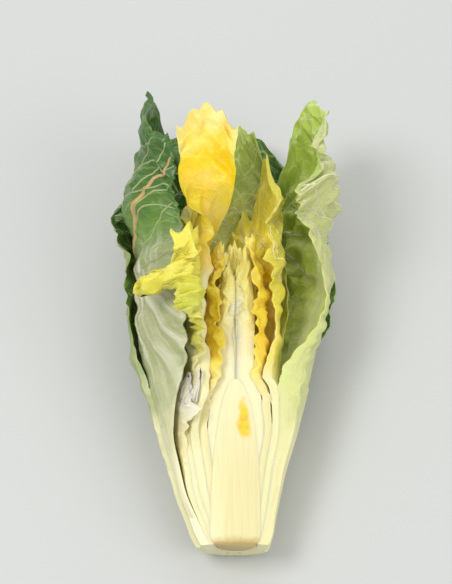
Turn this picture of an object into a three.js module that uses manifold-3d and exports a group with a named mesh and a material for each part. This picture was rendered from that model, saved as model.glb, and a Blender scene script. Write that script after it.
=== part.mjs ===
// Half of a small romaine lettuce head, cut lengthwise and lying on its rounded back, cut face up. Millimetres.
// Each leaf is a thin waved shell with a thick midrib, wrapped round a short tapering stem.
//
// Head frame: y runs from the cut butt to the leaf tips. The cut face is the plane z = 0 and the half lies
// below it, apart from a few margins that wrap round past it.
// Angles go round the head from straight down, positive towards +x, so the cut face is at -90 and +90 degrees.
// Shares u run along a leaf from its base, 0, to its tip, 1. Sides run across it, 0 on the midrib, 1 on a
// margin.
import * as THREE from "three";
import { mergeVertices } from "three/addons/utils/BufferGeometryUtils.js";
import Module from "manifold-3d";

const wasm = await Module();
wasm.setup();

// Driving dimensions of the head.
const BUTT_RADIUS = 13.2;
const HEAD_RADIUS = 36.5;
const WIDE_FROM = 112;
const WIDENING = 1.35;
const STEM_LENGTH = 50;
const STEM_RADIUS = 7;
const STEM_TAPER = 2.4;
const STEM_PROUD = 2;
const CUT_ANGLE = 90;

// The heart closes in towards its tip: up to which layer, from where to where, and by how much.
const HEART_LAYERS = 3;
const HEART_CLOSES_FROM = 76;
const HEART_TIP = 98;
const HEART_CLOSING = 0.42;

// How the half lies: its lean on the floor, and the depth from the cut face to the floor at the butt.
const TILT = 12.6;
const FLOOR_DEPTH = 13;

// Leaf tissue.
const BLADE = 0.8;
const MARGIN = 0.62;
const LEAST_GAP = 0.56;
const RIB_WIDTH_AT_BASE = 0.8;
const RIB_WIDTH_AT_TIP = 0.16;
const RIB_AT_BASE = 0.35;

// Outline of every leaf, as shares of its length or width.
const PETIOLE_TO = 0.12;
const WIDEST_AT = 0.6;
const TIP_NARROWS_FROM = 0.7;
const TIP_NARROWING = 0.34;
const SHOULDER_DROP = 0.15;
const OPENS = [0.6, 0.8];

// How far the lobed margin goes in and out: along the leaf at its tip, in mm, and round the head, in degrees.
const TIP_LOBE = 1.5;
const TIP_LOBES_ACROSS = 1.6;
const SIDE_LOBE = 4;

// How many times a leaf's own ruffle its margin may wave, where it wraps past the cut face.
const RUFFLE_MOST = 2;

// Broad folds and shorter crinkles that all the leaves share, so that they nest as they do in a packed head.
const FOLD_HEIGHT = 1.5;
const FOLD_LENGTH = 41;
const CRINKLE_HEIGHT = 0.9;
const CRINKLE_LENGTH = 23;

// How far ahead of a leaf's base, past its tip and past its margins the leaves outside it make room for it.
const FADE = 16;
const FADE_ACROSS = [0.95, 1.8];

// The curled leaf's margin rises from the cut face, rolls outwards over the leaf beside it, and then hangs.
// ROLL_ARC is the length of rolled leaf for each radian that its margin reaches past the cut face.
const ROLL_RISE = 15;
const ROLL_RADIUS = 5.5;
const ROLL_TURN = 110;
const ROLL_ARC = 20;

// The tall leaf's blade twists to lie open above the cut face: how far it is cupped, and how much more it
// waves.
const TWIST_CUP = 2.5;
const TWIST_WAVE = 1.6;

// A margin that wraps past the cut face tucks in towards the heart: by which share, and over how many degrees.
const TUCK = 0.24;
const TUCKED_BY = 50;

const LENGTH_STEPS = 20;
const WIDTH_STEPS = 9;
const STEM_STEPS = 14;
const STEM_SIDES = 20;

const DEG = Math.PI / 180;

const COLOURS = {
  dark: 0x47702a,
  green: 0x7fa03c,
  pale: 0xb9c766,
  yellow: 0xe6d23a,
  heart: 0xeee08a,
  cream: 0xf1ecc4,
};

// layer: place in the wrapping, 0 at the heart. rib: angle of the midrib. start, tip: along the head.
// left, right: angular half-widths of the blade where it is widest. petiole: angular half-width at the base.
// thick: midrib. ruffle, waves, phase: the waved margin. lean: how far the tip leans out.
// wrapLeft, wrapRight: how far the upper margin goes round past the cut face.
// extra: blade added on the left for that. opens: the shares u between which the margin comes round.
// shoulder: how far the margins lag behind the tip, as a share of the leaf's length, if not as usual.
// twist: from where to where the blade turns to face up, its place there and its half-width.
// columns: how many steps the leaf is divided into across, where the usual number isn't enough.
const LEAVES = [
  {
    name: "bud_leaf", layer: 0, rib: 8, start: 42, tip: 84, left: 70, right: 66, petiole: 60, thick: 2.2,
    ruffle: 0.6, waves: 4, phase: 0.2, tipLobe: 0.8, colour: "heart",
  },
  {
    name: "heart_leaf_left_inner", layer: 1, rib: -84, start: 35, tip: 91, left: 40, right: 54,
    petiole: 44, thick: 3.2, ruffle: 0.8, waves: 4, phase: 0.5, tipLobe: 0.8, colour: "heart",
  },
  {
    name: "heart_leaf_right_inner", layer: 1, rib: 86, start: 36, tip: 93, left: 56, right: 40,
    petiole: 44, thick: 3.4, ruffle: 0.8, waves: 4, phase: 0.8, tipLobe: 0.8, colour: "heart",
  },
  {
    name: "heart_leaf_back", layer: 2, rib: -6, start: 29, tip: 96, left: 58, right: 60, petiole: 52,
    thick: 2.4, ruffle: 0.8, waves: 5, phase: 0.1, tipLobe: 0.8, colour: "yellow",
  },
  {
    name: "heart_leaf_left_outer", layer: 3, rib: -70, start: 22, tip: 95, left: 46, right: 48,
    petiole: 42, thick: 2.8, ruffle: 0.9, waves: 5, phase: 0.6, tipLobe: 0.8, colour: "yellow",
  },
  {
    name: "heart_leaf_right_outer", layer: 3, rib: 60, start: 23, tip: 98, left: 46, right: 46,
    petiole: 42, thick: 2.6, ruffle: 0.9, waves: 5, phase: 0.9, tipLobe: 0.8, colour: "yellow",
  },
  {
    name: "tall_yellow_leaf", layer: 4, rib: -84, start: 17, tip: 134, left: 36, right: 38, petiole: 40,
    thick: 4.2, ruffle: 1, waves: 4, phase: 0.3, tipLobe: 2.6, wrapLeft: 34, opens: [0.5, 0.62],
    shoulder: 0.06, colour: "yellow", twist: { from: 95, to: 113, x: -8.5, z: 13, width: 12 },
  },
  {
    name: "curled_yellow_leaf", layer: 5, rib: -66, start: 12, tip: 108, left: 46, right: 44,
    petiole: 40, thick: 2.6, ruffle: 0.8, waves: 6, phase: 0.4, colour: "yellow", wrapLeft: 74,
    extra: 62, opens: [0.36, 0.66], columns: 18, rolled: true,
    tongue: { at: 0.84, width: 0.06, reach: 38 },
  },
  {
    name: "right_yellow_leaf", layer: 5, rib: 56, start: 12, tip: 126, left: 44, right: 46, petiole: 42,
    thick: 2.6, ruffle: 0.8, waves: 6, phase: 0.7, lean: -3, colour: "pale",
  },
  {
    name: "back_leaf_inner", layer: 6, rib: 12, start: 7, tip: 139, left: 54, right: 52, petiole: 48,
    thick: 2.8, ruffle: 1.3, waves: 5, phase: 0.5, lean: -3, colour: "green",
  },
  {
    name: "torn_leaf_stub", layer: 6, rib: -76, start: 7, tip: 56, left: 30, right: 26, petiole: 34,
    thick: 1.7, ruffle: 0.3, waves: 3, phase: 0.2, tipLobe: 4, colour: "cream",
  },
  {
    name: "outer_leaf_left", layer: 7, rib: -70, start: 1.5, tip: 148, left: 62, right: 56, petiole: 52,
    thick: 2.8, ruffle: 1.3, waves: 6, phase: 0.8, lean: -2, wrapLeft: 36, extra: 40, opens: [0.12, 0.5],
    colour: "dark",
  },
  {
    name: "outer_leaf_right", layer: 7, rib: 64, start: 1.5, tip: 146, left: 56, right: 70, petiole: 54,
    thick: 2.8, ruffle: 1.3, waves: 6, phase: 0.1, lean: -3, wrapRight: 48, opens: [0.52, 0.86],
    colour: "pale",
  },
  {
    name: "outer_leaf_back", layer: 8, rib: -12, start: 0, tip: 150, left: 74, right: 72, petiole: 66,
    thick: 3.2, ruffle: 1.6, waves: 6, phase: 0.4, lean: 2, colour: "dark",
  },
];

// How the free space in the head is shared out among the layers: a tight heart inside open outer leaves.
const GAP_SHARES = [1, 1, 1, 1, 1, 1, 1, 8, 2];

// The tongue of a leaf that has none. at and width are shares of the leaf's length, reach is in degrees.
const NO_TONGUE = { at: 0, width: 1, reach: 0 };

/** x held between 0 and 1. */
function share(x) {
  return Math.min(1, Math.max(0, x));
}

/** 0 below a, 1 above b, and a smooth step between. */
function smooth(a, b, x) {
  const t = share((x - a) / (b - a));
  return t * t * (3 - 2 * t);
}

/** The sine of a number of whole turns. */
function wave(turns) {
  return Math.sin(2 * Math.PI * turns);
}

/** Radius of the stem at a height y above the butt. */
function stemRadius(y) {
  return STEM_RADIUS * Math.sqrt(1 - share(y / STEM_LENGTH) ** STEM_TAPER);
}

/** Angular reach of a blade to the left and right of its midrib, in degrees, at a share u of its length. */
function reach(leaf, u) {
  const grown = smooth(PETIOLE_TO, WIDEST_AT, u);
  const narrowed = 1 - TIP_NARROWING * smooth(TIP_NARROWS_FROM, 1, u);
  return [leaf.left, leaf.right].map((blade) => (leaf.petiole + (blade - leaf.petiole) * grown) * narrowed);
}

/** Place across a leaf: 0 on the midrib, -1 and 1 on the margins. */
function across(leaf, u, angle) {
  const [left, right] = reach(leaf, u);
  const off = angle - leaf.rib;
  return off < 0 ? off / left : off / right;
}

/** Thickness of a leaf: a broad midrib that fades into the blade, and thins towards tip and margin. */
function thickness(leaf, u, side) {
  const ribWidth = RIB_WIDTH_AT_BASE - (RIB_WIDTH_AT_BASE - RIB_WIDTH_AT_TIP) * smooth(0, 0.75, u);
  const swell = RIB_AT_BASE + (1 - RIB_AT_BASE) * smooth(0.05, 0.4, u);
  const rib = (leaf.thick - BLADE) * swell * (1 - share(u)) ** 0.8 * Math.exp(-((side / ribWidth) ** 2));
  return BLADE - (BLADE - MARGIN) * smooth(0.5, 1, Math.abs(side)) + rib;
}

/** Room that a leaf takes up at a place round the head, fading out past its margins and ends. */
function room(leaf, angle, y) {
  const u = (y - leaf.start) / (leaf.tip - leaf.start);
  const side = across(leaf, share(u), angle);
  const lengthwise = smooth(-FADE, 0, y - leaf.start) * (1 - smooth(1, 1 + FADE, y - leaf.tip));
  return thickness(leaf, u, side) * lengthwise * (1 - smooth(...FADE_ACROSS, Math.abs(side)));
}

/** Outer radius of the packed head, which widens from the butt to the blades. */
function headRadius(y) {
  return BUTT_RADIUS + (HEAD_RADIUS - BUTT_RADIUS) * wave(share(y / WIDE_FROM) / 4) ** WIDENING;
}

/** How far a layer has begun at a height y, from 0 below its leaves' bases to 1 above them. */
function begun(layer, y) {
  const starts = LEAVES.filter((leaf) => leaf.layer === layer).map((leaf) => leaf.start);
  return smooth(-FADE, 0, y - Math.min(...starts));
}

/** Free space inside each layer: what the stem and the leaves leave of the head's radius, shared out. */
function gaps(y) {
  const probes = [-75, -45, -15, 15, 45, 75];
  let leaves = 0;
  for (const leaf of LEAVES) for (const angle of probes) leaves += room(leaf, angle, y) / probes.length;
  const present = GAP_SHARES.map((_, layer) => begun(layer, y));
  const least = LEAST_GAP * present.reduce((sum, here) => sum + here, 0);
  const shares = present.reduce((sum, here, layer) => sum + here * GAP_SHARES[layer], 0);
  const free = Math.max(0, headRadius(y) - stemRadius(y) - leaves - least) / shares;
  return present.map((here, layer) => here * (LEAST_GAP + free * GAP_SHARES[layer]));
}

/** Folds and crinkles of the packed head, in proportion to the radius so that no layer crosses the next. */
function sharedFold(angle, y, radius) {
  const turn = angle * DEG;
  const folds = wave(y / FOLD_LENGTH + 0.27 * turn) + 0.6 * Math.sin(4 * turn - y / 17 + 1.2);
  const crinkles = wave(y / CRINKLE_LENGTH - 0.37 * turn) + 0.5 * Math.sin(7 * turn + y / 9);
  const sideways = 0.35 + 0.65 * Math.sin(turn) ** 2;
  const height = FOLD_HEIGHT * folds * smooth(25, 85, y) + CRINKLE_HEIGHT * crinkles * smooth(55, 105, y);
  return height * sideways * (radius / HEAD_RADIUS);
}

/** Inner radius of a layer: the stem, and every layer inside it with its gap. The heart's layers close in. */
function layerRadius(layer, angle, y) {
  let radius = stemRadius(y) + gaps(y).slice(0, layer + 1).reduce((sum, free) => sum + free, 0);
  for (const leaf of LEAVES) if (leaf.layer < layer) radius += room(leaf, angle, y);
  const closing = layer > HEART_LAYERS ? 0 : HEART_CLOSING * smooth(HEART_CLOSES_FROM, HEART_TIP, y);
  return (radius + sharedFold(angle, y, radius)) * (1 - closing);
}

/** The waved margin of one leaf: in and out across the layer, strongest along the margin and at the tip. */
function ruffle(leaf, u, side, y) {
  const edge = Math.max(Math.min(RUFFLE_MOST, side ** 2) * smooth(0.3, 0.7, u), smooth(0.8, 1, u));
  const free = 0.4 + 0.6 * smooth(HEART_TIP, HEART_TIP + FADE, y);
  return leaf.ruffle * free * edge * wave(leaf.waves * u + leaf.phase + 0.45 * side);
}

/** How far out a leaf may reach before it meets the floor, once the head lies tilted on its back. This
 *  presses the flat spot that the head rests on. */
function floorRadius(angle, y) {
  return (FLOOR_DEPTH + y * Math.tan(TILT * DEG)) / Math.max(0.1, Math.cos(angle * DEG));
}

/** The angles of a leaf's two margins at a share u of its length. Each stops at the cut face unless it wraps
 *  past it. */
function margins(leaf, u) {
  const [left, right] = reach(leaf, u);
  const open = smooth(...(leaf.opens ?? OPENS), u);
  const lobe = SIDE_LOBE * smooth(0.35, 0.6, u) * wave(leaf.waves * u + leaf.phase);
  const { at, width, reach: furthest } = leaf.tongue ?? NO_TONGUE;
  const tongue = furthest * Math.exp(-(((u - at) / width) ** 2));
  const leftMost = -CUT_ANGLE - (leaf.wrapLeft ?? 0) * open - tongue;
  const rightMost = CUT_ANGLE + (leaf.wrapRight ?? 0) * open;
  return [
    Math.max(leaf.rib - left - (leaf.extra ?? 0) * open - lobe - tongue, leftMost),
    Math.min(leaf.rib + right + lobe, rightMost),
  ];
}

/** A point past the cut face on a margin that rises, rolls outwards and then hangs straight. */
function rolledPoint(past, radius, y, thick) {
  const risen = Math.min(past, ROLL_RISE);
  const turn = Math.min((past - risen) / ROLL_RADIUS, ROLL_TURN * DEG);
  const straight = past - risen - turn * ROLL_RADIUS;
  return new THREE.Vector3(
    -(radius + ROLL_RADIUS) + (ROLL_RADIUS - thick) * Math.cos(turn) - straight * Math.sin(turn),
    y,
    risen + (ROLL_RADIUS - thick) * Math.sin(turn) + straight * Math.cos(turn),
  );
}

/** A point of a leaf in the head frame. v runs from 0 at the left margin to 1 at the right, and depth from 0 on
 *  the inner face to 1 on the outer face. */
function leafPoint(leaf, u, v, depth) {
  const [lowest, highest] = margins(leaf, u);
  const angle = lowest + (highest - lowest) * v;
  const side = across(leaf, u, angle);
  const shoulder = (leaf.shoulder ?? SHOULDER_DROP) * Math.min(1, side ** 2) * smooth(0.45, 1, u);
  const lobes = (leaf.tipLobe ?? TIP_LOBE) * smooth(0.75, 1, u) * wave(TIP_LOBES_ACROSS * side + leaf.phase);
  const y = leaf.start + (leaf.tip - leaf.start) * (u - shoulder) + lobes;

  const full = thickness(leaf, u, side);
  const thick = full * depth;
  const lean = (leaf.lean ?? 0) * smooth(95, 150, y);
  const free = layerRadius(leaf.layer, angle, y) + ruffle(leaf, u, side, y) + lean;
  const tucked = leaf.rolled ? 1 : 1 - TUCK * smooth(0, TUCKED_BY, Math.abs(angle) - CUT_ANGLE);
  const radius = Math.min(free * tucked, floorRadius(angle, y) - full);
  if (leaf.rolled && angle < -CUT_ANGLE) {
    return rolledPoint((-CUT_ANGLE - angle) * DEG * ROLL_ARC, radius, y, thick);
  }
  const point = new THREE.Vector3(
    (radius + thick) * Math.sin(angle * DEG),
    y,
    -(radius + thick) * Math.cos(angle * DEG),
  );
  if (leaf.twist) {
    const { from, to, x, z, width } = leaf.twist;
    const narrowed = reach(leaf, u)[0] / leaf.left;
    const raised = z + TWIST_CUP * side ** 2 + TWIST_WAVE * ruffle(leaf, u, side, y);
    point.lerp(new THREE.Vector3(x + width * narrowed * side, y, raised - thick), smooth(from, to, y));
  }
  return point;
}

/** A closed shell from two grids of points, split into triangles alike on both faces. */
function shell(pointAt, lengthSteps, widthSteps) {
  const rows = lengthSteps + 1;
  const columns = widthSteps + 1;
  const positions = [];
  for (const depth of [0, 1])
    for (let i = 0; i < rows; i += 1)
      for (let j = 0; j < columns; j += 1) positions.push(...pointAt(i / lengthSteps, j / widthSteps, depth));

  const at = (depth, i, j) => (depth * rows + i) * columns + j;
  const index = [];
  const quad = (a, b, c, d) => index.push(a, b, c, a, c, d);
  for (let i = 0; i < lengthSteps; i += 1)
    for (let j = 0; j < widthSteps; j += 1) {
      quad(at(0, i, j), at(0, i, j + 1), at(0, i + 1, j + 1), at(0, i + 1, j));
      index.push(at(1, i, j), at(1, i + 1, j + 1), at(1, i, j + 1));
      index.push(at(1, i, j), at(1, i + 1, j), at(1, i + 1, j + 1));
    }
  for (let i = 0; i < lengthSteps; i += 1) {
    quad(at(0, i, 0), at(0, i + 1, 0), at(1, i + 1, 0), at(1, i, 0));
    quad(at(0, i + 1, widthSteps), at(0, i, widthSteps), at(1, i, widthSteps), at(1, i + 1, widthSteps));
  }
  for (let j = 0; j < widthSteps; j += 1) {
    quad(at(0, 0, j + 1), at(0, 0, j), at(1, 0, j), at(1, 0, j + 1));
    quad(at(0, lengthSteps, j), at(0, lengthSteps, j + 1), at(1, lengthSteps, j + 1), at(1, lengthSteps, j));
  }
  return new THREE.BufferGeometry()
    .setAttribute("position", new THREE.Float32BufferAttribute(positions, 3))
    .setIndex(index);
}

/** A closed geometry as a manifold-3d solid. */
function solidOf(geometry) {
  const bare = geometry.clone();
  bare.deleteAttribute("normal");
  bare.deleteAttribute("uv");
  const merged = mergeVertices(bare, 1e-4);
  return new wasm.Manifold(
    new wasm.Mesh({
      numProp: 3,
      vertProperties: new Float32Array(merged.attributes.position.array),
      triVerts: new Uint32Array(merged.index.array),
    }),
  );
}

/** The geometry of a manifold-3d solid. */
function geometryOf(solid) {
  const mesh = solid.getMesh();
  return new THREE.BufferGeometry()
    .setAttribute("position", new THREE.BufferAttribute(new Float32Array(mesh.vertProperties), 3))
    .setIndex(new THREE.BufferAttribute(new Uint32Array(mesh.triVerts), 1));
}

/** The short stem that carries the leaves, turned round the head's axis and cut a little above the cut face. */
function stemGeometry() {
  const profile = [new THREE.Vector2(0, 0)];
  for (let i = 0; i < STEM_STEPS; i += 1) {
    const y = (STEM_LENGTH * i) / STEM_STEPS;
    profile.push(new THREE.Vector2(stemRadius(y), y));
  }
  profile.push(new THREE.Vector2(0, STEM_LENGTH));
  const turned = new THREE.LatheGeometry(profile, STEM_SIDES);
  const width = 4 * STEM_RADIUS;
  const missingHalf = new THREE.BoxGeometry(width, 2 * STEM_LENGTH, width)
    .translate(0, STEM_LENGTH / 2, STEM_PROUD + width / 2);
  return geometryOf(solidOf(turned).subtract(solidOf(missingHalf)));
}

/** A named mesh with a material of its own, as moist leaf tissue. */
function namedMesh(name, geometry, colour) {
  const material = new THREE.MeshStandardMaterial({ color: COLOURS[colour], roughness: 0.45, metalness: 0 });
  const mesh = new THREE.Mesh(geometry, material);
  mesh.name = name;
  return mesh;
}

const head = new THREE.Group();
head.add(namedMesh("stem", stemGeometry(), "cream"));
for (const leaf of LEAVES) {
  const columns = leaf.columns ?? WIDTH_STEPS;
  const geometry = shell((u, v, depth) => leafPoint(leaf, u, v, depth), LENGTH_STEPS, columns);
  head.add(namedMesh(leaf.name, geometry, leaf.colour));
}
head.rotation.x = TILT * DEG;
head.position.z = FLOOR_DEPTH * Math.cos(TILT * DEG);

// The origin is on the floor, under the middle of the half head.
const halfHead = new THREE.Group();
halfHead.add(head);
halfHead.updateMatrixWorld(true);
const centre = new THREE.Box3().setFromObject(halfHead, true).getCenter(new THREE.Vector3());
head.position.x -= centre.x;
head.position.y -= centre.y;

export default halfHead;
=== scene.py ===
"""The looks of half a small romaine lettuce head, cut lengthwise and lying on its rounded back.

Every leaf follows the same rule as its solid, on a much finer grid: it is a thin shell wrapped round the head's
axis. Geometry Nodes then crumple and blister its blade, and raise its side veins along paths on the same surface.

Head frame, in millimetres: y runs from the cut butt to the leaf tips, the cut face is the plane z = 0 and the
half lies below it. Angles go round the head from straight down, positive towards +x, in degrees. A share u runs
along a leaf from its base, 0, to its tip, 1. A side runs across it: 0 on the midrib, -1 and 1 on its margins.
"""

import itertools
import logging
import math
from collections.abc import Callable
from dataclasses import dataclass
from enum import Enum
from typing import Any

import bpy
import numpy as np
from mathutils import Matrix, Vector


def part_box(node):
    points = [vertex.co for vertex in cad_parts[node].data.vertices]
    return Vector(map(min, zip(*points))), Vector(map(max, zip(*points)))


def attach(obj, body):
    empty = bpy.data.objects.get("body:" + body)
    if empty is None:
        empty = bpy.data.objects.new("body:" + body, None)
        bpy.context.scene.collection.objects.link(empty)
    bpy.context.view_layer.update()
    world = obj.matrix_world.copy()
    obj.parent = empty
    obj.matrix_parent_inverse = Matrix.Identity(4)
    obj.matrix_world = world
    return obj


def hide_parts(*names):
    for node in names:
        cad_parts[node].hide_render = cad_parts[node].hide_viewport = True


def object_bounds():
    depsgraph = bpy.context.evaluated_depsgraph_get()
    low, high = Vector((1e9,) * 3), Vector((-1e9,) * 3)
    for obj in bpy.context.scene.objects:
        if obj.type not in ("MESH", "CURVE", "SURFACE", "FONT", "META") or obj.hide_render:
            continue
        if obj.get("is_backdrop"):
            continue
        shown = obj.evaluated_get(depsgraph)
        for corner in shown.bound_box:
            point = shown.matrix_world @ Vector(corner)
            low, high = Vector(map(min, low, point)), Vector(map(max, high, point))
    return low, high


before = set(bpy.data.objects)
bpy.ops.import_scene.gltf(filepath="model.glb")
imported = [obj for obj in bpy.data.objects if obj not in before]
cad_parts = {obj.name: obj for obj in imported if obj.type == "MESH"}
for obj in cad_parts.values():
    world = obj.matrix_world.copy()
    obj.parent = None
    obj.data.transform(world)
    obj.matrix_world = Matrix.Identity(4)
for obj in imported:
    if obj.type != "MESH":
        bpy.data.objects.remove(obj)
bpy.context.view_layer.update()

LOG = logging.getLogger("romaine")
MM = 0.001
Array = np.ndarray
# Where something begins or fades, and where that is complete or over.
Span = tuple[float, float]
Colour = tuple[float, float, float, float]


def share(x: Array) -> Array:
    """x held between 0 and 1."""
    return np.clip(x, 0.0, 1.0)


def smooth(a: float, b: float, x: Array) -> Array:
    """0 below a, 1 above b, and a smooth step between."""
    t = share((x - a) / (b - a))
    return t * t * (3 - 2 * t)


def wave(turns: Array) -> Array:
    """The sine of a number of whole turns."""
    return np.sin(2 * math.pi * turns)


def unsteady(turns: Array, phase: float) -> Array:
    """Waves of several lengths at once, which don't repeat, between about -1 and 1."""
    return 0.6 * wave(turns + phase) + 0.35 * wave(1.73 * turns + 2.1 * phase) + 0.25 * wave(2.91 * turns + 0.4)


def bump(x: Array, middle: float, width: float) -> Array:
    """A bell of height 1 round a middle."""
    return np.exp(-(((x - middle) / width) ** 2))


def linear(colour: str) -> Colour:
    """The linear colour of a hexadecimal screen colour."""
    parts = [int(colour[i:i + 2], 16) / 255 for i in (0, 2, 4)]
    red, green, blue = (p / 12.92 if p <= 0.04045 else ((p + 0.055) / 1.055) ** 2.4 for p in parts)
    return red, green, blue, 1.0


class Skin(Enum):
    """Which finish a leaf has."""

    BUD = "bud"
    HEART = "heart"
    HEART_YELLOW = "heart yellow"
    HEART_GOLD = "heart gold"
    TALL_YELLOW = "tall yellow"
    CURLED_YELLOW = "curled yellow"
    RIGHT_YELLOW = "right yellow"
    PALE_GREEN = "pale green"
    OLIVE = "olive"
    DARK_GREEN = "dark green"
    BACK_GREEN = "back green"
    TORN_WHITE = "torn white"


@dataclass(frozen=True)
class Tongue:
    """A narrow strip that reaches out of a leaf's left margin."""

    at: float
    width: float
    reach: float


@dataclass(frozen=True)
class Twist:
    """Where a leaf's blade turns to face up, its place there and its half-width."""

    start: float
    end: float
    x: float
    z: float
    width: float


@dataclass(frozen=True)
class Leaf:
    """One leaf: its place in the wrapping, its outline, its waves and its surface.

    Angles are in degrees, and heights, thicknesses and sizes in millimetres. The pairs of heights or shares say
    where something begins or fades and where that is complete.
    """

    name: str
    slot: str
    skin: Skin
    layer: int
    rib: float
    start: float
    tip: float
    left: float
    right: float
    petiole: float
    thick: float
    ruffle: float
    waves: float
    phase: float
    tip_lobe: float = 1.5
    shoulder: float = 0.15
    lean: float = 0.0
    wrap_left: float = 0.0
    wrap_right: float = 0.0
    extra: float = 0.0
    opens: Span = (0.6, 0.8)
    rolled: bool = False
    tongue: Tongue = Tongue(0.0, 1.0, 0.0)
    twist: Twist | None = None
    swell: float = 0.0
    swell_from: Span = (0.3, 0.62)
    swell_to: Span = (2.0, 3.0)
    jagged: float = 1.0
    stout: float = 0.0
    ridges: float = 0.0
    pleats: float = 0.0
    blister: float = 0.5
    blister_size: float = 6.0
    crumple: float = 0.5
    crumple_size: float = 16.0
    veins: int = 9
    veins_from: float = 0.24
    bold_vein: int = -1
    filled_to: Span = (44.0, 74.0)
    loose_from: Span = (0.12, 0.5)


HEART_TIPS: dict[str, Any] = {"tip_lobe": 0.8, "jagged": 0.55, "shoulder": 0.07, "veins": 0}

# Each begins with its name, slot, skin, layer, midrib's angle, start and tip, reach to the left and right, the
# petiole's reach, thickness at the midrib, ruffle, waves along its margin and their phase.
LEAVES: tuple[Leaf, ...] = (
    Leaf("bud_leaf", "heart_leaf", Skin.BUD, 0, 8, 42, 84, 70, 66, 60, 2.2, 0.6, 4, 0.2,
         **HEART_TIPS, swell=52, swell_from=(0.5, 0.85), blister=0.9, blister_size=4.5,
         crumple=0.9, crumple_size=9, filled_to=(70, 84)),
    Leaf("heart_leaf_left_inner", "heart_leaf", Skin.HEART, 1, -84, 35, 91, 40, 54, 44, 3.2, 0.8, 4, 0.5,
         **HEART_TIPS, swell=48, swell_from=(0.52, 0.78), blister=1.1, blister_size=5,
         crumple=0.9, crumple_size=10, filled_to=(76, 92), loose_from=(0.5, 0.85)),
    Leaf("heart_leaf_right_inner", "heart_leaf", Skin.HEART, 1, 86, 36, 93, 56, 40, 44, 3.4, 0.8, 4, 0.8,
         **HEART_TIPS, swell=40, swell_from=(0.5, 0.8), blister=0.5, blister_size=6,
         crumple=0.8, crumple_size=12, filled_to=(80, 95), loose_from=(0.5, 0.85)),
    Leaf("heart_leaf_back", "heart_leaf", Skin.HEART_YELLOW, 2, -6, 29, 96, 58, 60, 52, 2.4, 0.8, 5, 0.1,
         **HEART_TIPS, swell=30, swell_from=(0.62, 0.95), blister=1.0, blister_size=5,
         crumple=1.0, crumple_size=10, filled_to=(62, 86)),
    Leaf("heart_leaf_left_outer", "yellow_leaf", Skin.HEART_GOLD, 3, -70, 22, 95, 46, 48, 42, 2.8, 0.9, 5, 0.6,
         **HEART_TIPS, swell=46, swell_from=(0.24, 0.46), blister=1.7, blister_size=5.5,
         crumple=1.2, crumple_size=11, filled_to=(46, 66), loose_from=(0.1, 0.32)),
    Leaf("heart_leaf_right_outer", "yellow_leaf", Skin.HEART_GOLD, 3, 60, 23, 98, 46, 46, 42, 2.6, 0.9, 5, 0.9,
         **HEART_TIPS, swell=28, swell_from=(0.3, 0.55), blister=1.6, blister_size=5,
         crumple=1.1, crumple_size=10, filled_to=(46, 72), loose_from=(0.1, 0.34)),
    Leaf("tall_yellow_leaf", "yellow_leaf", Skin.TALL_YELLOW, 4, -84, 17, 134, 36, 38, 40, 4.2, 1.0, 4, 0.3,
         tip_lobe=0.8, jagged=0.45, shoulder=0.06, wrap_left=34, opens=(0.5, 0.62), swell=22,
         swell_from=(0.06, 0.24), swell_to=(0.5, 0.7), stout=3.6, ridges=0.12,
         twist=Twist(start=95, end=113, x=-8.5, z=13, width=12),
         blister=2.2, blister_size=8, crumple=2.0, crumple_size=13, veins=0),
    Leaf("curled_yellow_leaf", "yellow_leaf", Skin.CURLED_YELLOW, 5, -66, 12, 108, 46, 44, 40, 2.6, 0.8, 6, 0.4,
         wrap_left=74, extra=62, opens=(0.36, 0.66), rolled=True,
         tongue=Tongue(at=0.84, width=0.04, reach=38),
         blister=3.3, blister_size=6.2, crumple=1.6, crumple_size=12, veins=0),
    Leaf("right_yellow_leaf", "pale_green_leaf", Skin.RIGHT_YELLOW, 5, 56, 12, 126, 44, 46, 42, 2.6, 0.8, 6, 0.7,
         lean=-3, swell=30, swell_from=(0.45, 0.75), blister=1.2, blister_size=7, crumple=1.5,
         crumple_size=14, veins=3, veins_from=0.5),
    Leaf("back_leaf_inner", "pale_green_leaf", Skin.OLIVE, 6, 12, 7, 139, 54, 52, 48, 2.8, 1.3, 5, 0.5,
         lean=-3, blister=0.9, blister_size=8, crumple=1.1, crumple_size=18, veins=7, veins_from=0.4),
    Leaf("torn_leaf_stub", "cream_flesh", Skin.TORN_WHITE, 6, -76, 7, 56, 30, 26, 34, 1.7, 0.3, 3, 0.2,
         tip_lobe=4, swell=28, swell_from=(0.4, 0.75), jagged=3.5, blister=0.6, blister_size=4, crumple=0.8,
         crumple_size=8, veins=0, filled_to=(34, 46)),
    Leaf("outer_leaf_left", "outer_green_leaf", Skin.DARK_GREEN, 7, -70, 1.5, 148, 62, 56, 52, 2.8, 1.3, 6, 0.8,
         lean=-2, wrap_left=36, extra=40, opens=(0.12, 0.5), ridges=0.3, pleats=1.3, blister=1.6,
         blister_size=9, crumple=1.7, crumple_size=15, veins=5, veins_from=0.5, bold_vein=1,
         filled_to=(2, 34)),
    Leaf("outer_leaf_right", "pale_green_leaf", Skin.PALE_GREEN, 7, 64, 1.5, 146, 56, 70, 54, 2.8, 1.3, 6, 0.1,
         lean=-3, wrap_right=48, opens=(0.52, 0.86), ridges=0.22, blister=2.5, blister_size=8,
         crumple=1.9, crumple_size=14, veins=5, veins_from=0.46),
    Leaf("outer_leaf_back", "outer_green_leaf", Skin.BACK_GREEN, 8, -12, 0, 150, 74, 72, 66, 3.2, 1.6, 6, 0.4,
         lean=2, ridges=0.25, blister=1.2, blister_size=9, crumple=1.2, crumple_size=16, veins=8,
         veins_from=0.42),
)


@dataclass(frozen=True)
class Spot:
    """Where points of a leaf lie, before its thickness: everything that placing them needs."""

    u: Array
    angle: Array
    side: Array
    y: Array
    radius: Array
    full: Array
    ruffle: Array


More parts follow.
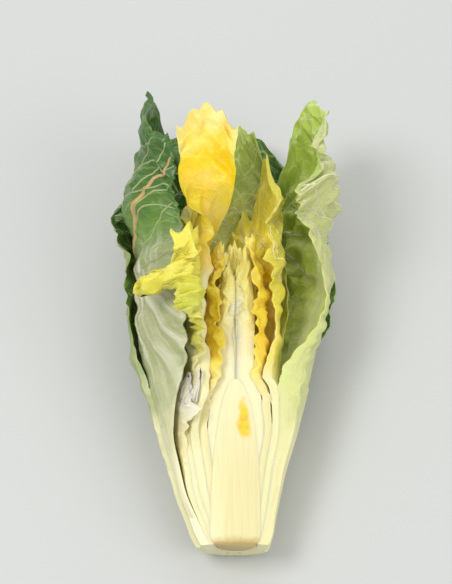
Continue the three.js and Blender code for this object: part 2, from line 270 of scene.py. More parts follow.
@dataclass(frozen=True)
class HeadShape:
    """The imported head: how far out each layer of leaves lies, and where a point of a leaf is. Millimetres."""

    butt_radius: float = 13.2
    head_radius: float = 36.5
    wide_from: float = 112.0
    widening: float = 1.35
    stem_length: float = 50.0
    stem_radius: float = 7.0
    stem_taper: float = 2.4
    stem_proud: float = 2.0
    cut_angle: float = 90.0
    heart_layers: int = 3
    heart_closes_from: float = 76.0
    heart_tip: float = 98.0
    heart_closing: float = 0.42
    tilt: float = math.radians(12.6)
    floor_depth: float = 13.0
    blade: float = 0.8
    margin: float = 0.62
    least_gap: float = 0.56
    rib_width_at_base: float = 0.8
    rib_width_at_tip: float = 0.16
    rib_at_base: float = 0.35
    rib_narrows_to: float = 0.75
    rib_swells: Span = (0.05, 0.4)
    rib_taper: float = 0.8
    petiole_to: float = 0.12
    widest_at: float = 0.6
    tip_narrows_from: float = 0.7
    tip_narrowing: float = 0.34
    tip_lobes_across: float = 1.6
    side_lobe: float = 4.0
    side_lobed: Span = (0.35, 0.6)
    shoulders_from: float = 0.45
    lobes_from: float = 0.75
    fold_height: float = 1.5
    fold_length: float = 41.0
    crinkle_height: float = 0.9
    crinkle_length: float = 23.0
    folded_below: float = 0.35
    folded: Span = (25.0, 85.0)
    crinkled: Span = (55.0, 105.0)
    ruffle_most: float = 2.0
    ruffled: Span = (0.3, 0.7)
    tip_ruffled_from: float = 0.8
    heart_ruffle: float = 0.4
    leaning: Span = (95.0, 150.0)
    fade: float = 16.0
    fade_across: Span = (0.95, 1.8)
    roll_rise: float = 15.0
    roll_radius: float = 5.5
    roll_turn: float = math.radians(110)
    roll_arc: float = 20.0
    roll_droop: float = 0.36
    tuck: float = 0.24
    tucked_by: float = 50.0
    twist_cup: float = 2.5
    twist_wave: float = 1.6
    gap_shares: tuple[float, ...] = (1, 1, 1, 1, 1, 1, 1, 8, 2)
    probes: tuple[float, ...] = (-75.0, -45.0, -15.0, 15.0, 45.0, 75.0)

    # Only in the looks: finer lobes and ruffles, margins that swell unevenly, a tongue's knob, a thinner blade,
    # pleats, a convex crown at the base, a rounded butt, and how far an inner leaf counts as covering what is
    # outside it.
    fine_side_lobe: float = 1.1
    fine_at_cut: float = 0.6
    fine_tip_lobe: float = 0.4
    fine_ruffle: float = 0.5
    swell_wander: float = 0.2
    tongue_bluntness: float = 0.8
    knob: float = 0.35
    visual_blade: float = 0.62
    pleat_turn: float = 15.0
    pleats_at: float = 0.62
    pleats_width: float = 0.13
    crown: float = 3.2
    crown_depth: float = 7.0
    crown_margin: float = 1.5
    crown_fades: Span = (40.0, 80.0)
    butt_rounding: float = 0.11
    butt_rounded_to: float = 5.0
    covers_across: Span = (0.96, 1.12)
    covers_to: float = 0.95
    covers_from: float = 0.2

    def stem_radius_at(self, y: Array) -> Array:
        """Radius of the stem at a height above the butt."""
        return self.stem_radius * np.sqrt(1 - share(y / self.stem_length) ** self.stem_taper)

    def reach(self, leaf: Leaf, u: Array) -> tuple[Array, Array]:
        """Angular reach of a blade to the left and right of its midrib, in degrees."""
        grown = smooth(self.petiole_to, self.widest_at, u)
        narrowed = 1 - self.tip_narrowing * smooth(self.tip_narrows_from, 1, u)
        left = (leaf.petiole + (leaf.left - leaf.petiole) * grown) * narrowed
        right = (leaf.petiole + (leaf.right - leaf.petiole) * grown) * narrowed
        return left, right

    def across(self, leaf: Leaf, u: Array, angle: Array) -> Array:
        """Place across a leaf, from its midrib."""
        left, right = self.reach(leaf, u)
        off = angle - leaf.rib
        return np.where(off < 0, off / left, off / right)

    def rib_height(self, leaf: Leaf, u: Array, side: Array) -> Array:
        """How far the midrib swells above the blade."""
        narrowing = (self.rib_width_at_base - self.rib_width_at_tip) * smooth(0, self.rib_narrows_to, u)
        width = self.rib_width_at_base - narrowing
        swell = self.rib_at_base + (1 - self.rib_at_base) * smooth(*self.rib_swells, u)
        height = (leaf.thick - self.blade) * swell * (1 - share(u)) ** self.rib_taper
        return height * np.exp(-((side / width) ** 2))

    def thickness(self, leaf: Leaf, u: Array, side: Array) -> Array:
        """Thickness of a leaf, as its solid has it."""
        blade = self.blade - (self.blade - self.margin) * smooth(0.5, 1, np.abs(side))
        return blade + self.rib_height(leaf, u, side)

    def seen_thickness(self, leaf: Leaf, u: Array, side: Array) -> Array:
        """Thickness of a leaf as the looks have it, with a thinner blade."""
        thinned = self.visual_blade / self.blade
        stiff = share(2 * self.rib_height(leaf, u, side))
        return self.thickness(leaf, u, side) * (thinned + (1 - thinned) * stiff)

    def room(self, leaf: Leaf, angle: Array, y: Array) -> Array:
        """Room that a leaf takes up at a place round the head, fading out past its margins and ends."""
        u = (y - leaf.start) / (leaf.tip - leaf.start)
        side = self.across(leaf, share(u), angle)
        lengthwise = smooth(-self.fade, 0, y - leaf.start) * (1 - smooth(1, 1 + self.fade, y - leaf.tip))
        return self.thickness(leaf, u, side) * lengthwise * (1 - smooth(*self.fade_across, np.abs(side)))

    def outer_radius(self, y: Array) -> Array:
        """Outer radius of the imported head, which widens from the butt to the blades."""
        opened = wave(share(y / self.wide_from) / 4) ** self.widening
        return self.butt_radius + (self.head_radius - self.butt_radius) * opened

    def gaps(self, y: Array) -> Array:
        """Free space inside each layer at heights y, one row for each layer."""
        probes = np.array(self.probes)[:, None]
        leaves = sum(self.room(leaf, probes, y[None, :]).mean(axis=0) for leaf in LEAVES)
        present = []
        for layer in range(len(self.gap_shares)):
            lowest = min(leaf.start for leaf in LEAVES if leaf.layer == layer)
            present.append(smooth(-self.fade, 0, y - lowest))
        here = np.array(present)
        shares = np.array(self.gap_shares)[:, None]
        least = self.least_gap * here.sum(axis=0)
        spare = np.maximum(0, self.outer_radius(y) - self.stem_radius_at(y) - leaves - least)
        return here * (self.least_gap + shares * spare / (here * shares).sum(axis=0))

    def shared_fold(self, angle: Array, y: Array, radius: Array) -> Array:
        """Folds and crinkles that all the leaves share, in proportion to the radius."""
        turn = np.radians(angle)
        folds = wave(y / self.fold_length + 0.27 * turn) + 0.6 * np.sin(4 * turn - y / 17 + 1.2)
        crinkles = wave(y / self.crinkle_length - 0.37 * turn) + 0.5 * np.sin(7 * turn + y / 9)
        sideways = self.folded_below + (1 - self.folded_below) * np.sin(turn) ** 2
        height = self.fold_height * folds * smooth(*self.folded, y)
        height = height + self.crinkle_height * crinkles * smooth(*self.crinkled, y)
        return height * sideways * (radius / self.head_radius)

    def floor_radius(self, angle: Array, y: Array) -> Array:
        """How far out a leaf may reach before it meets the floor."""
        depth = self.floor_depth + y * math.tan(self.tilt)
        return depth / np.maximum(0.1, np.cos(np.radians(angle)))

    def clearance(self, at: Spot) -> Array:
        """How far the outer face of a leaf's points is from the floor."""
        return self.floor_radius(at.angle, at.y) - at.radius - at.full

    def to_row(self, points: Array, origin: tuple[float, float]) -> Array:
        """Points of the head frame in the part's own frame.

        Args:
            points: head frame points in millimetres, with x, y and z last.
            origin: where the head frame's origin lies on the floor, in metres.

        Returns:
            The points in metres, with the head lying tilted on the floor.
        """
        lean, rise = math.cos(self.tilt), math.sin(self.tilt)
        x, y, z = points[..., 0], points[..., 1], points[..., 2]
        placed = np.stack(
            [x, y * lean - z * rise, y * rise + z * lean + self.floor_depth * lean], axis=-1) * MM
        placed[..., 0] += origin[0]
        placed[..., 1] += origin[1]
        return placed

    def crowned(self, points: Array) -> Array:
        """Points near the butt drawn in at its end, and lifted so that the cut face stands a little convex."""
        drawn = 1 - self.butt_rounding * (1 - share(points[..., 1] / self.butt_rounded_to)) ** 2
        x, y, z = points[..., 0] * drawn, points[..., 1], points[..., 2] * drawn
        dome = share(1 - (x / (self.outer_radius(y) + self.crown_margin)) ** 2)
        lifted = self.crown * dome * smooth(-self.crown_depth, 0, z) * (1 - smooth(*self.crown_fades, y))
        return np.stack([x, y, z + lifted], axis=-1)


class PackedHead:
    """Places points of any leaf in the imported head."""

    def __init__(self, shape: HeadShape) -> None:
        """Works out the free space between the layers once, along the whole head."""
        self.shape = shape
        self.heights = np.arange(-12.0, 172.0, 0.5)
        self.gap_table = shape.gaps(self.heights)

    def layer_radius(self, layer: int, angle: Array, y: Array) -> Array:
        """Inner radius of a layer: the stem, and every layer inside it with its gap."""
        s = self.shape
        radius = s.stem_radius_at(y) + np.interp(y, self.heights, self.gap_table[: layer + 1].sum(axis=0))
        for leaf in LEAVES:
            if leaf.layer < layer:
                radius = radius + s.room(leaf, angle, y)
        closing = 0.0
        if layer <= s.heart_layers:
            closing = s.heart_closing * smooth(s.heart_closes_from, s.heart_tip, y)
        return (radius + s.shared_fold(angle, y, radius)) * (1 - closing)

    def within(self, leaf: Leaf, angle: Array, y: Array) -> Array:
        """Outer surface of what lies just inside a leaf's layer: the stem, or the nearest leaf that covers it."""
        s = self.shape
        surface = s.stem_radius_at(y) + 0 * angle
        for inner in LEAVES:
            if inner.layer >= leaf.layer:
                continue
            u = (y - inner.start) / (inner.tip - inner.start)
            side = s.across(inner, share(u), angle)
            begun = smooth(-s.fade, 0, y - inner.start)
            outer = self.layer_radius(inner.layer, angle, y) + s.seen_thickness(inner, share(u), side) * begun
            there = (1 - smooth(*s.covers_across, np.abs(side))) * (1 - smooth(s.covers_to, 1, u))
            there = there * smooth(0, s.covers_from, begun)
            surface = surface + there * np.maximum(0, outer - surface)
        return surface

    def margins(self, leaf: Leaf, u: Array) -> tuple[Array, Array]:
        """The angles of a leaf's two margins, which stop at the cut face unless they wrap past it."""
        s = self.shape
        left, right = s.reach(leaf, u)
        opened = smooth(*leaf.opens, u)
        grown = smooth(*s.side_lobed, u)
        lobe = s.side_lobe * grown * wave(leaf.waves * u + leaf.phase)
        fine = s.fine_side_lobe * leaf.jagged * grown * unsteady(2.3 * leaf.waves * u, leaf.phase)
        strip = leaf.tongue
        tongue = strip.reach * bump(u, strip.at, strip.width) ** s.tongue_bluntness
        knob = s.knob * strip.reach * bump(u, strip.at - strip.width, strip.width / 2)
        swell = leaf.swell * smooth(*leaf.swell_from, u) * (1 - smooth(*leaf.swell_to, u))
        swell = swell * (1 - s.swell_wander + s.swell_wander * unsteady(leaf.waves * u, leaf.phase))
        at_cut = grown * s.fine_at_cut
        leftmost = -s.cut_angle - leaf.wrap_left * opened - tongue - knob - swell
        rightmost = s.cut_angle + leaf.wrap_right * opened + swell
        free_left = leaf.rib - left - leaf.extra * opened - lobe - tongue - knob - swell
        lowest = np.maximum(free_left - fine, leftmost - fine * (opened if leaf.wrap_left else at_cut))
        highest = np.minimum(leaf.rib + right + lobe + swell + fine,
                             rightmost + fine * (opened if leaf.wrap_right else at_cut))
        return lowest, highest

    def spot(self, leaf: Leaf, u: Array, v: Array) -> Spot:
        """Where points of a leaf lie, from their shares along and across it."""
        s = self.shape
        lowest, highest = self.margins(leaf, u)
        angle = lowest + (highest - lowest) * v
        side = s.across(leaf, u, angle)
        shoulder = leaf.shoulder * np.minimum(1, side ** 2) * smooth(s.shoulders_from, 1, u)
        lobes = leaf.tip_lobe * wave(s.tip_lobes_across * side + leaf.phase)
        lobes = lobes + s.fine_tip_lobe * leaf.tip_lobe * unsteady(2.9 * side, 1.9 * leaf.phase)
        y = leaf.start + (leaf.tip - leaf.start) * (u - shoulder) + smooth(s.lobes_from, 1, u) * lobes
        full = s.thickness(leaf, u, side)

        edge = np.minimum(s.ruffle_most, side ** 2) * smooth(*s.ruffled, u)
        edge = np.maximum(edge, smooth(s.tip_ruffled_from, 1, u))
        free = s.heart_ruffle + (1 - s.heart_ruffle) * smooth(s.heart_tip, s.heart_tip + s.fade, y)
        ruffle = leaf.ruffle * wave(leaf.waves * u + leaf.phase + 0.45 * side)
        ruffle = ruffle + s.fine_ruffle * unsteady(2.1 * leaf.waves * u + 0.9 * side, leaf.phase)
        pleats = leaf.pleats * unsteady(angle / s.pleat_turn, leaf.phase)
        ruffle = (ruffle + pleats * bump(u, s.pleats_at, s.pleats_width)) * free * edge
        lean = leaf.lean * smooth(*s.leaning, y)
        radius = self.layer_radius(leaf.layer, angle, y) + ruffle + lean
        if not leaf.rolled:
            radius = radius * (1 - s.tuck * smooth(0, s.tucked_by, np.abs(angle) - s.cut_angle))
        radius = np.minimum(radius, s.floor_radius(angle, y) - full)
        return Spot(u, angle, side, y, radius, full, ruffle)

    def _rolled(self, at: Spot, depth: Array) -> Array:
        """Points of a blade that rises past the cut, rolls outwards over its margin and droops."""
        s = self.shape
        past = (-s.cut_angle - at.angle) * math.pi / 180 * s.roll_arc
        risen = np.minimum(past, s.roll_rise)
        turned = np.clip((past - risen) / s.roll_radius, 0, s.roll_turn)
        straight = past - risen - turned * s.roll_radius
        small = s.roll_radius - depth
        x = -(at.radius + s.roll_radius) + small * np.cos(turned) - straight * np.sin(turned)
        y = at.y - s.roll_droop * np.maximum(0, past - s.roll_rise)
        z = risen + small * np.sin(turned) + straight * np.cos(turned)
        return np.stack([x, y + 0 * x, z], axis=-1)

    def _facing_up(self, leaf: Leaf, twist: Twist, at: Spot, depth: Array) -> Array:
        """Points of a blade that has turned to face up."""
        s = self.shape
        x = twist.x + twist.width * (s.reach(leaf, at.u)[0] / leaf.left) * at.side
        z = twist.z + s.twist_cup * at.side ** 2 + s.twist_wave * at.ruffle - depth
        return np.stack([x, at.y + 0 * x, z], axis=-1)

    def place(self, leaf: Leaf, at: Spot, depth: Array) -> Array:
        """Head frame points at a depth, in millimetres outwards from a leaf's inner face."""
        turn = np.radians(at.angle)
        reach = at.radius + depth
        points = np.stack([reach * np.sin(turn), at.y + 0 * reach, -reach * np.cos(turn)], axis=-1)
        if leaf.rolled:
            past_cut = (at.angle < -self.shape.cut_angle)[..., None]
            points = np.where(past_cut, self._rolled(at, depth), points)
        if leaf.twist:
            turned = smooth(leaf.twist.start, leaf.twist.end, at.y)[..., None]
            points = points + turned * (self._facing_up(leaf, leaf.twist, at, depth) - points)
        return self.shape.crowned(points)


def operator(operation: str, reflected: bool = False) -> Callable[..., "Term"]:
    """A method of Term that adds one Math node.

    Args:
        operation: the Math node's operation.
        reflected: whether the other value comes first.

    Returns:
        The method, on the term and, where the operation has two, on another value.
    """

    def apply(self: "Term", other: Any = None) -> "Term":
        """The operation's result."""
        first, second = (other, self) if reflected else (self, other)
        node = self.graph.node("ShaderNodeMath", {"operation": operation}, {0: first, 1: second})
        return Term(self.graph, node.outputs[0])

    return apply


class Term:
    """A socket that can stand in an arithmetic expression. Each operator adds its Math node."""

    def __init__(self, graph: "Graph", socket: bpy.types.NodeSocket) -> None:
        """Wraps a socket of a graph."""
        self.graph = graph
        self.socket = socket

    __add__ = __radd__ = operator("ADD")
    __sub__ = operator("SUBTRACT")
    __rsub__ = operator("SUBTRACT", reflected=True)
    __mul__ = __rmul__ = operator("MULTIPLY")
    __rtruediv__ = operator("DIVIDE", reflected=True)
    __abs__ = operator("ABSOLUTE")
    fraction = operator("FRACT")
    above = operator("MAXIMUM")


class Graph:
    """Adds nodes to one node tree, of a material or of Geometry Nodes."""

    def __init__(self, tree: bpy.types.NodeTree) -> None:
        """Starts on an empty tree."""
        self.tree = tree
        tree.nodes.clear()

    def node(self, kind: str, settings: dict[str, Any] | None = None,
             inputs: dict[Any, Any] | None = None) -> bpy.types.Node:
        """Adds a node.

        Args:
            kind: the node's type.
            settings: its settings, which are set first.
            inputs: values or links of its sockets, by name or by number.

        Returns:
            The node.
        """
        made = self.tree.nodes.new(kind)
        for name, value in (settings or {}).items():
            setattr(made, name, value)
        for name, value in (inputs or {}).items():
            if isinstance(value, Term):
                self.tree.links.new(value.socket, made.inputs[name])
            elif isinstance(value, bpy.types.NodeSocket):
                self.tree.links.new(value, made.inputs[name])
            elif value is not None:
                made.inputs[name].default_value = value
        return made

    def term(self, kind: str, settings: dict[str, Any] | None = None,
             inputs: dict[Any, Any] | None = None, output: Any = 0) -> Term:
        """One output of a new node, ready for arithmetic."""
        return Term(self, self.node(kind, settings, inputs).outputs[output])

    def step(self, low: float, high: float, value: Term) -> Term:
        """0 below low, 1 above high, and a smooth step between."""
        return self.term("ShaderNodeMapRange", {"interpolation_type": "SMOOTHSTEP"},
                         {"Value": value, "From Min": low, "From Max": high})

    def vector(self, operation: str, first: Any, second: Any = None,
               scale: Any = None) -> bpy.types.NodeSocket:
        """A Vector Math node's vector."""
        inputs = {0: first, 1: second, "Scale": scale}
        return self.node("ShaderNodeVectorMath", {"operation": operation}, inputs).outputs[0]

    def past(self, place: float, edge: Span, value: Term) -> Term:
        """0 before a place and 1 after it, with a soft edge round it."""
        return self.step(place + edge[0], place + edge[1], value)

    def noise(self, at: Any, scale: float, detail: float = 2.0) -> Term:
        """Noise between 0 and 1."""
        return self.term("ShaderNodeTexNoise", None, {"Vector": at, "Scale": scale, "Detail": detail})

    def read(self, name: str) -> Term:
        """A material's reading of an attribute of the piece, as a number."""
        return self.term("ShaderNodeAttribute", {"attribute_name": name}, None, "Fac")

    def grain(self) -> bpy.types.NodeSocket:
        """A material's reading of the place along and across the piece, in metres."""
        return self.node("ShaderNodeAttribute", {"attribute_name": "grain"}).outputs["Vector"]

    def here(self) -> bpy.types.NodeSocket:
        """A material's Object coordinates."""
        return self.node("ShaderNodeTexCoord").outputs["Object"]

    def blend(self, amount: Any, under: Any, over: Any) -> bpy.types.NodeSocket:
        """A colour laid over another by an amount; a colour may be a hexadecimal one."""
        under, over = (linear(c) if isinstance(c, str) else c for c in (under, over))
        node = self.node("ShaderNodeMix", {"data_type": "RGBA", "clamp_factor": True},
                         {0: amount, 6: under, 7: over})
        return node.outputs[2]


def linked(name: str, data: bpy.types.ID) -> bpy.types.Object:
    """An object in the scene."""
    made = bpy.data.objects.new(name, data)
    bpy.context.scene.collection.objects.link(made)
    return made


class NodeModifier:
    """A Geometry Nodes tree with named inputs, and the plain mesh that it makes."""

    def __init__(self, name: str, inputs: dict[str, str]) -> None:
        """Makes an empty tree.

        Args:
            name: the tree's name.
            inputs: the socket type of each named input after the geometry.
        """
        tree = bpy.data.node_groups.new(name, "GeometryNodeTree")
        tree.interface.new_socket("Geometry", in_out="INPUT", socket_type="NodeSocketGeometry")
        for title, kind in inputs.items():
            tree.interface.new_socket(title, in_out="INPUT", socket_type=kind)
        tree.interface.new_socket("Geometry", in_out="OUTPUT", socket_type="NodeSocketGeometry")
        self.graph = Graph(tree)
        self.entry = self.graph.node("NodeGroupInput")
        self.exit = self.graph.node("NodeGroupOutput")

    def entering(self, name: str) -> Term:
        """A named input inside the tree."""
        return Term(self.graph, self.entry.outputs[name])

    def leaving(self, geometry: bpy.types.NodeSocket) -> None:
        """Ends the tree with a geometry."""
        self.graph.tree.links.new(geometry, self.exit.inputs["Geometry"])

    def attribute(self, name: str, kind: str = "FLOAT") -> Term:
        """A named attribute of the points inside the tree."""
        node = self.graph.node("GeometryNodeInputNamedAttribute", {"data_type": kind}, {"Name": name})
        return Term(self.graph, node.outputs["Attribute"])

    def made_from(self, source: bpy.types.Mesh, name: str, values: dict[str, Any]) -> bpy.types.Object:
        """The plain mesh object that the tree makes of a mesh.

        Args:
            source: the mesh that goes in.
            name: the new object's name.
            values: the named inputs' values.

        Returns:
            An object without modifiers, at the origin.
        """
        carrier = linked(name + "_source", source)
        modifier = carrier.modifiers.new("nodes", "NODES")
        modifier.node_group = self.graph.tree
        for item in self.graph.tree.interface.items_tree:
            if item.in_out == "INPUT" and item.name in values:
                modifier[item.identifier] = values[item.name]
        evaluated = carrier.evaluated_get(bpy.context.evaluated_depsgraph_get())
        mesh = bpy.data.meshes.new_from_object(evaluated)
        carrier.modifiers.clear()
        bpy.data.objects.remove(carrier)
        mesh.name = name
        return linked(name, mesh)


CRUMPLE_INPUTS = dict.fromkeys(
    ("Blister Size", "Blister Height", "Crumple Size", "Crumple Height", "Seed"), "NodeSocketFloat")


@dataclass
class CrumpleNodes:
    """The trees that crumple a leaf and that raise its veins."""

    puff_width: float = 0.42
    crease_level: float = 0.55
    crumple_gain: float = 3.0
    wander: float = 0.9
    wander_scale: float = 1.7

    def __post_init__(self) -> None:
        """Builds the shared displacement, the leaf tree and the vein tree."""
        self.shared = self._displacement()
        self.leaf = self._leaf_tree()
        self.veins = self._vein_tree()

    def _displacement(self) -> NodeModifier:
        """Moves points along their outward direction: puffed cells with creases between, and broad crumples."""
        made = NodeModifier("leaf_displacement", CRUMPLE_INPUTS)
        g = made.graph
        shift = g.node("ShaderNodeCombineXYZ", None, {"Z": made.entering("Seed")}).outputs[0]
        seeded = g.vector("ADD", made.attribute("place", "FLOAT_VECTOR"), shift)

        by_crumple = g.vector("SCALE", seeded, scale=1 / made.entering("Crumple Size"))
        broad = g.noise(by_crumple, 1.0, detail=1.5) - 0.5
        wander = g.node("ShaderNodeTexNoise", None,
                        {"Vector": by_crumple, "Scale": self.wander_scale, "Detail": 1.0}).outputs["Color"]
        nudged = g.vector("SCALE", g.vector("SUBTRACT", wander, (0.5, 0.5, 0.5)), scale=self.wander)
        by_blister = g.vector("SCALE", seeded, scale=1 / made.entering("Blister Size"))
        cells = g.term("ShaderNodeTexVoronoi", {"feature": "DISTANCE_TO_EDGE"},
                       {"Vector": g.vector("ADD", by_blister, nudged), "Scale": 1.0})
        puffed = g.step(0.0, self.puff_width, cells) - self.crease_level
        crumpled = broad * self.crumple_gain * made.entering("Crumple Height")
        height = puffed * made.entering("Blister Height") + crumpled
        moved = g.vector("SCALE", made.attribute("outward", "FLOAT_VECTOR"),
                         scale=height * made.attribute("loose"))
        placed = g.node("GeometryNodeSetPosition", None,
                        {"Geometry": made.entry.outputs["Geometry"], "Offset": moved})
        made.leaving(placed.outputs["Geometry"])
        return made

    def _displaced(self, made: NodeModifier) -> bpy.types.NodeSocket:
        """The shared displacement inside another tree, with that tree's own inputs."""
        inputs: dict[str, Any] = {name: made.entering(name) for name in CRUMPLE_INPUTS}
        inputs["Geometry"] = made.entry.outputs["Geometry"]
        group = made.graph.node("GeometryNodeGroup", {"node_tree": self.shared.graph.tree}, inputs)
        return group.outputs["Geometry"]

    def _finished(self, made: NodeModifier, geometry: bpy.types.NodeSocket) -> NodeModifier:
        """Ends a tree with Realize Instances and Set Material."""
        g = made.graph
        realized = g.node("GeometryNodeRealizeInstances", None, {"Geometry": geometry})
        dressed = g.node("GeometryNodeSetMaterial", None,
                         {"Geometry": realized.outputs["Geometry"], "Material": made.entering("Material")})
        made.leaving(dressed.outputs["Geometry"])
        return made

    def _leaf_tree(self) -> NodeModifier:
        """A crumpled and blistered leaf."""
        made = NodeModifier("crumpled_leaf", {**CRUMPLE_INPUTS, "Material": "NodeSocketMaterial"})
        return self._finished(made, self._displaced(made))

    def _vein_tree(self) -> NodeModifier:
        """Tapering veins along the edges of a wire that is crumpled as the leaf is."""
        made = NodeModifier("raised_veins", {**CRUMPLE_INPUTS, "Sides": "NodeSocketInt",
                                             "Material": "NodeSocketMaterial"})
        g = made.graph
        curve = g.node("GeometryNodeMeshToCurve", None, {"Mesh": self._displaced(made)})
        profile = g.node("GeometryNodeCurvePrimitiveCircle", None,
                         {"Resolution": made.entering("Sides"), "Radius": 1.0})
        tube = g.node("GeometryNodeCurveToMesh", None,
                      {"Curve": curve.outputs["Curve"], "Profile Curve": profile.outputs["Curve"],
                       "Scale": made.attribute("girth"), "Fill Caps": True})
        return self._finished(made, tube.outputs["Mesh"])


def empty_material(name: str) -> tuple[bpy.types.Material, Graph]:
    """A material without nodes, and its graph."""
    material = bpy.data.materials.new(name)
    material.use_nodes = True
    return material, Graph(material.node_tree)


@dataclass(frozen=True)
class Moist:
    """How moist tissue takes the light: a glow under its skin, a wet coat and a fine relief.

    The glow's depth and the relief's height are in metres.
    """

    glow: float
    glow_radius: tuple[float, float, float]
    glow_depth: float
    coat: float
    coat_roughness: float
    relief: float
    relief_height: float
    refraction: float = 1.42

    def end(self, g: Graph, colour: Any, roughness: Any, height: Any) -> None:
        """Ends a material.

        Args:
            g: the material's graph.
            colour: its base colour.
            roughness: its roughness.
            height: its fine relief, from 0 to 1.
        """
        bumped = g.node("ShaderNodeBump", None,
                        {"Strength": self.relief, "Distance": self.relief_height, "Height": height})
        shader = g.node("ShaderNodeBsdfPrincipled", None, {
            "Base Color": colour, "Roughness": roughness, "Normal": bumped.outputs["Normal"],
            "IOR": self.refraction, "Subsurface Weight": self.glow,
            "Subsurface Radius": self.glow_radius, "Subsurface Scale": self.glow_depth,
            "Coat Weight": self.coat, "Coat Roughness": self.coat_roughness})
        g.node("ShaderNodeOutputMaterial", None, {"Surface": shader.outputs[0]})


# Repeats of each pattern in a metre. Streaks run along a leaf or the stem.
CLOUDS = 95.0
SPECKS = 520.0
VEIN_SPECKS = 420.0
FLESH_SPECKS = 600.0
RAGGED = 260.0
CREASES = 330.0
STREAKS = (900.0, 45.0, 900.0)
PETIOLE_STREAK = "ddd49a"


@dataclass(frozen=True)
class LeafFinish:
    """Moist leaf tissue: pale petiole and midrib, coloured blade, paler veins, and a tint for its outer face,
    which on the dark green leaf is painted shade.

    A place is a share of the leaf's length, an edge says where a change begins and is complete, a wander is how
    far the clouds shift that change, and a mark is how strongly something shows.
    """

    petiole: str
    blade: str
    patch: str
    tip: str
    vein: str
    back: str
    shade: str
    blade_from: float = 0.3
    tip_from: float = 0.75
    veins: float = 0.7
    patchiness: float = 0.6
    roughness: float = 0.42
    subsurface: float = 0.25
    vein_count: float = 13.0
    vein_slant: float = 0.16
    back_to: float = 2.0
    outer_tint_and_shade: float = 0.85
    streaks: float = 0.4
    blade_edge: Span = (-0.14, 0.2)
    tip_edge: Span = (-0.12, 0.15)
    back_edge: Span = (-0.1, 0.12)
    cloud_edge: Span = (0.42, 0.66)
    rib_edge: Span = (0.12, 0.55)
    margin_edge: Span = (0.75, 1.0)
    streak_edge: Span = (0.45, 0.75)
    speck_edge: Span = (0.62, 0.78)
    crease_width: float = 0.09
    vein_width: float = 0.07
    blade_wander: float = 0.25
    tip_wander: float = 0.3
    back_wander: float = 0.2
    vein_wander: float = 0.5
    crease_mark: float = 0.35
    vein_mark: float = 0.8
    rib_mark: float = 0.85
    streak_mark: float = 0.45
    speck_mark: float = 0.12
    crease_relief: float = 0.35
    speck_relief: float = 0.25
    petiole_relief: float = 0.6
    outer_relief: float = 0.4
    drift_roughness: float = 0.18
    speck_roughness: float = 0.1

    def build(self, name: str) -> bpy.types.Material:
        """The material, from the leaf's own attributes."""
        material, g = empty_material(name)
        rise, side, outer = g.read("rise"), g.read("side"), g.read("outer")
        clouds, specks = g.noise(g.here(), CLOUDS, detail=3.0), g.noise(g.here(), SPECKS)
        streaked = g.noise(g.vector("MULTIPLY", g.grain(), STREAKS), 1.0, detail=3.0)
        drift = clouds - 0.5

        grown = g.past(self.blade_from, self.blade_edge, rise + drift * self.blade_wander)
        colour = g.blend(grown, self.petiole, self.blade)
        colour = g.blend(g.step(*self.cloud_edge, clouds) * self.patchiness * grown, colour, self.patch)
        tipward = g.past(self.tip_from, self.tip_edge, rise + drift * self.tip_wander)
        colour = g.blend(tipward, colour, self.tip)

        creases = g.term("ShaderNodeTexVoronoi", {"feature": "DISTANCE_TO_EDGE"},
                         {"Vector": g.grain(), "Scale": CREASES})
        veinlets = (1 - g.step(0.0, self.crease_width, creases)) * grown
        climb = (rise - abs(side) * self.vein_slant) * self.vein_count + drift * self.vein_wander
        fans = 1 - g.step(0.0, self.vein_width, abs(climb.fraction() - 0.5))
        side_veins = fans * grown * (1 - g.step(*self.margin_edge, abs(side)))
        veined = (veinlets * self.crease_mark).above(side_veins * self.vein_mark) * self.veins
        colour = g.blend(veined, colour, self.vein)
        ribbed = g.step(*self.rib_edge, g.read("ribbed")) * self.rib_mark
        colour = g.blend(ribbed * grown, colour, self.vein)
        streaks = (1 - grown) * g.step(*self.streak_edge, streaked) * self.streak_mark
        colour = g.blend(streaks, colour, PETIOLE_STREAK)

        backward = 1 - g.past(self.back_to, self.back_edge, rise + drift * self.back_wander)
        outer_tint_and_shade = outer * grown * backward
        # The outer face's tint; on the dark green leaf this khaki tint is painted shade.
        colour = g.blend(outer_tint_and_shade * self.outer_tint_and_shade, colour, self.back)
        # Streaks on the outer face; on the dark green leaf they are whitish, partly real lengthwise streaks and
        # partly a painted highlight.
        colour = g.blend(outer_tint_and_shade * g.step(*self.cloud_edge, streaked) * self.streaks, colour, self.shade)
        colour = g.blend(g.step(*self.speck_edge, specks) * self.speck_mark, colour, self.shade)

        fine = veinlets * self.crease_relief + specks * self.speck_relief
        relief = fine + (1 - grown) * streaked * self.petiole_relief + outer * streaked * self.outer_relief
        rough = self.roughness + drift * self.drift_roughness + (specks - 0.5) * self.speck_roughness
        Moist(glow=self.subsurface, glow_radius=(1.0, 1.0, 0.7), glow_depth=0.0012, coat=0.12,
              coat_roughness=0.3, relief=0.5, relief_height=0.0006).end(g, colour, rough, relief)
        return material


@dataclass(frozen=True)
class VeinFinish:
    """Raised side veins, with another colour for a bold one."""

    colour: str
    bold: str = "b98f4c"
    pale: Colour = (0.9, 0.86, 0.6, 1.0)
    pale_mark: float = 0.3
    roughness: float = 0.36
    speck_roughness: float = 0.15

    def build(self, name: str) -> bpy.types.Material:
        """The material, from the veins' own attributes."""
        material, g = empty_material(name)
        specks = g.noise(g.here(), VEIN_SPECKS)
        colour = g.blend(g.read("bold"), self.colour, self.bold)
        colour = g.blend(specks * self.pale_mark, colour, self.pale)
        rough = self.roughness + specks * self.speck_roughness
        Moist(glow=0.3, glow_radius=(0.8, 1.0, 0.25), glow_depth=0.002, coat=0.1,
              coat_roughness=0.3, relief=0.3, relief_height=0.0003).end(g, colour, rough, specks)
        return material


